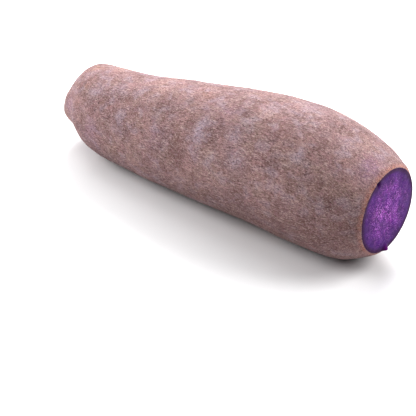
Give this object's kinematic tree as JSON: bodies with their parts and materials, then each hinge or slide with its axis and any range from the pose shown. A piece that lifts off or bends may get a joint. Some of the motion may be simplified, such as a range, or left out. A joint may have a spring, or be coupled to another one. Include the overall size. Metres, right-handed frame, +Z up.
{
  "type": "purple sweet potato",
  "caption": "Purple sweet potato tuber with brown skin, a blunt stem end, and its other end sliced straight across to show deep purple flesh.",
  "frame": {"origin": "middle of the bounding box's footprint, on the surface that the tuber lies on", "axes": "+X along the tuber from the stem end to the cut face, +Z up, +Y to its back"},
  "size_m": [0.21, 0.0678, 0.0641],
  "materials": {
    "skin_and_flesh": "matt, finely pitted brown-mauve cork skin; moist deep purple flesh on the cut face"
  },
  "bodies": {
    "root": {"sweet_potato": "skin_and_flesh"}
  },
  "joints": []
}
